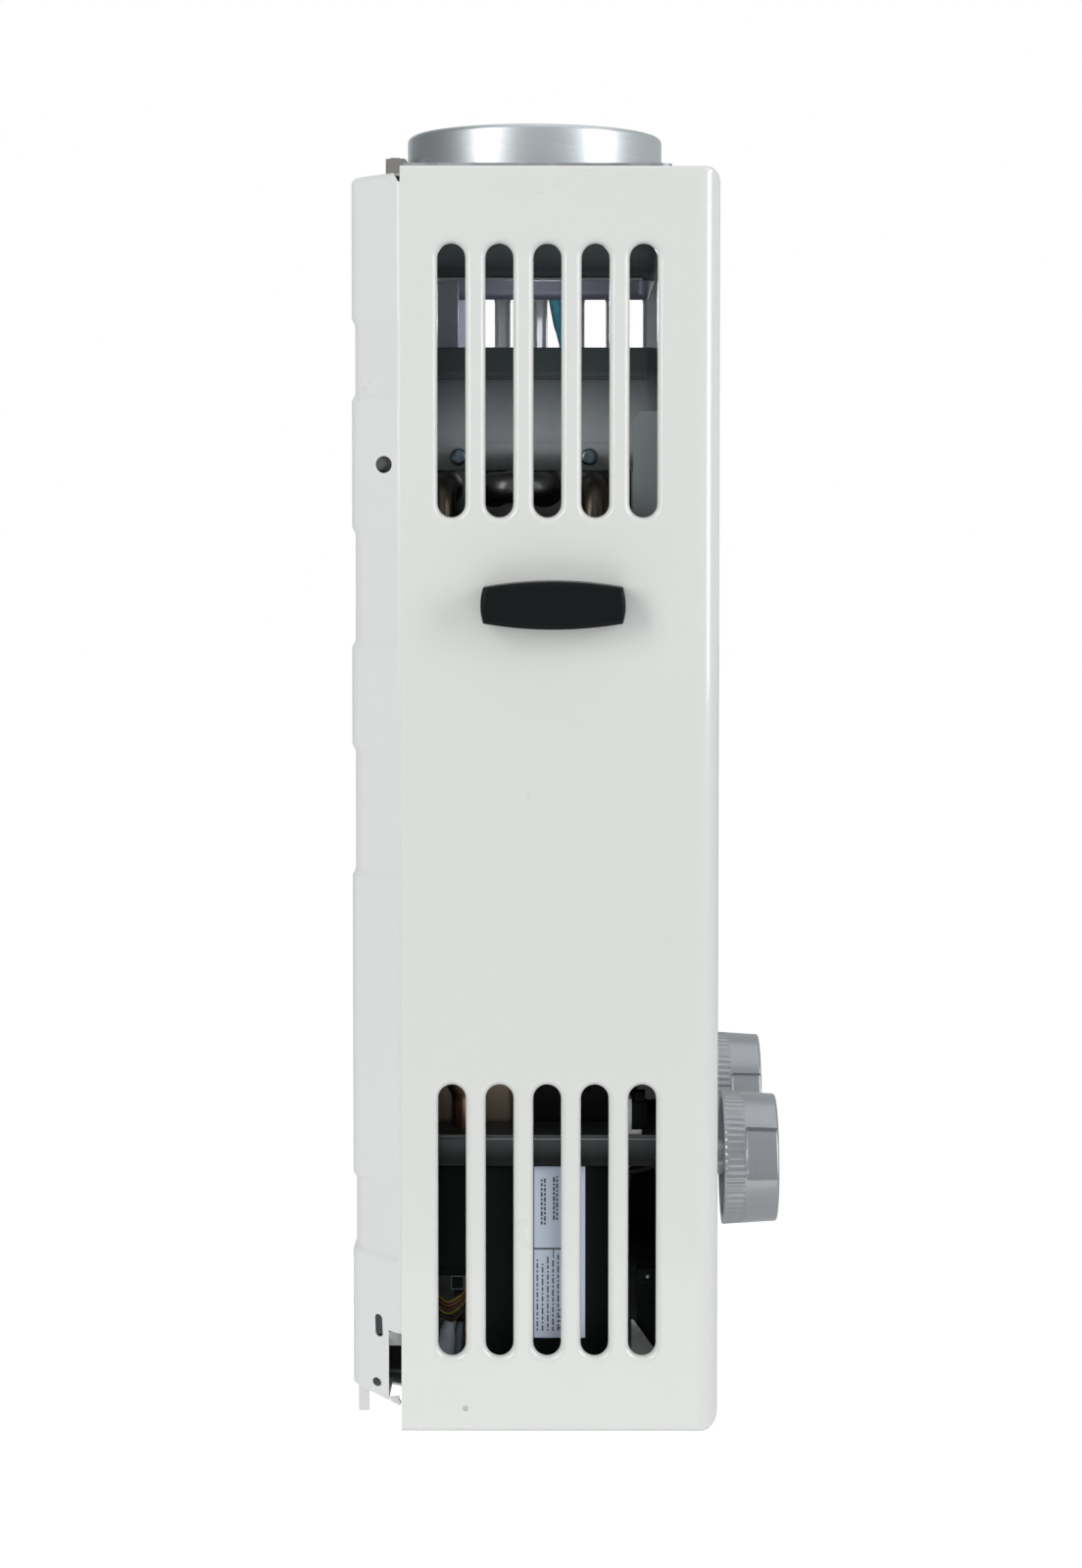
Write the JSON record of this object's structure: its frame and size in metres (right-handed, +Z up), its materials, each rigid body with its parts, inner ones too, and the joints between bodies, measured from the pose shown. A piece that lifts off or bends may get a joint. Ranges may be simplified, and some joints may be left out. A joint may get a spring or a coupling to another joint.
{
  "type": "tankless gas water heater",
  "caption": "Wall-hung flued water heater with a slotted white cover, tapered back pan, flue collar, two knobs, cup pulls and its working inside.",
  "frame": {"origin": "on the wall face of the back pan, at the middle of its width, 516 mm above the casing's bottom", "axes": "+X to the viewer's right facing the front, +Y into the wall, +Z up; the front faces -Y"},
  "size_m": [0.3566, 0.1938, 0.6016],
  "materials": {
    "enamel": "gloss white enamel on pressed steel",
    "galvanised": "matt galvanised sheet",
    "aluminised": "bright aluminised sheet",
    "hood_steel": "dull blue-grey sheet",
    "copper": "dull copper",
    "tinned": "grey dipped coating",
    "brass": "turned and forged brass",
    "cast": "die-cast, matt",
    "steel": "bright zinc-plated steel",
    "satin_silver": "satin silver paint on plastic",
    "black": "gloss black",
    "white_plastic": "matt white",
    "ceramic": "glazed off-white ceramic",
    "lens": "dark clear plastic",
    "cell_wrap": "plain dark wrap",
    "teal_sleeve": "teal insulating sleeve",
    "lead_sleeve": "red-brown insulating sleeve"
  },
  "bodies": {
    "casing": {"back_pan": "enamel", "front_cover": "enamel", "wall_hanger": "galvanised", "top_plate": "galvanised", "burner_shelf": "galvanised", "exchanger_support": "galvanised", "base_plate": "galvanised", "flue_collar": "aluminised", "hood_lower": "hood_steel", "hood_upper": "hood_steel", "hood_back_plate": "hood_steel", "front_baffle": "hood_steel", "combustion_chamber": "copper", "water_coil": "copper", "hot_outlet_pipe": "copper", "heat_exchanger": "tinned", "return_bend_left": "tinned", "return_bend_right_rear": "tinned", "return_bend_right_front": "tinned", "gas_union": "brass", "cold_union": "brass", "hot_union": "brass", "water_valve_body": "brass", "drain_plug": "brass", "gas_valve_body": "cast", "diaphragm_cover": "cast", "gas_manifold": "cast", "gas_feed_pipe": "cast", "hood_screw_left_rear": "steel", "hood_screw_left_front": "steel", "hood_screw_right_rear": "steel", "hood_screw_right_front": "steel", "cover_screw_left": "steel", "cover_screw_right": "steel", "burner_rack": "steel", "solenoid_valve": "steel", "side_handle_left": "black", "side_handle_right": "black", "display_bezel": "black", "battery_box": "black", "control_box": "black", "microswitch": "black", "overheat_thermostat": "black", "flue_thermostat": "black", "lead_plug_left": "white_plastic", "lead_plug_right": "white_plastic", "spark_electrode": "ceramic", "flame_sensor": "ceramic", "display_lens": "lens", "battery_cell_left": "cell_wrap", "battery_cell_right": "cell_wrap", "thermostat_lead": "teal_sleeve", "ignition_lead": "lead_sleeve"},
    "gas_control": {"gas_spindle": "steel", "gas_knob": "satin_silver"},
    "water_control": {"water_spindle": "steel", "water_knob": "satin_silver"},
    "valve_rod": {"push_rod": "steel"},
    "switch_arm": {"switch_lever": "steel"},
    "battery_door": {"battery_lid": "black"}
  },
  "joints": [
    {"name": "gas_control_turn", "type": "hinge", "parent": "casing", "child": "gas_control", "pos_m": [-0.062, -0.1611, -0.4235], "axis": [0, -1, 0], "range_deg": [-120, 120]},
    {"name": "water_control_turn", "type": "hinge", "parent": "casing", "child": "water_control", "pos_m": [0.062, -0.1611, -0.4235], "axis": [0, -1, 0], "range_deg": [-120, 120]},
    {"name": "valve_rod_slide", "type": "slide", "parent": "casing", "child": "valve_rod", "axis": [-1, 0, 0], "range_m": [0, 0.004], "stiffness_N_per_m": 200},
    {"name": "switch_arm_swing", "type": "hinge", "parent": "casing", "child": "switch_arm", "pos_m": [-0.0064, -0.0831, -0.4142], "axis": [0, 1, 0], "range_deg": [0, 14]},
    {"name": "battery_door_swing", "type": "hinge", "parent": "casing", "child": "battery_door", "pos_m": [0.117, -0.1071, -0.5162], "axis": [1, 0, 0], "range_deg": [0, 95]}
  ],
  "couplings": [
    {"joint": "switch_arm_swing", "follows": "valve_rod_slide", "rad_per_m": 60}
  ]
}
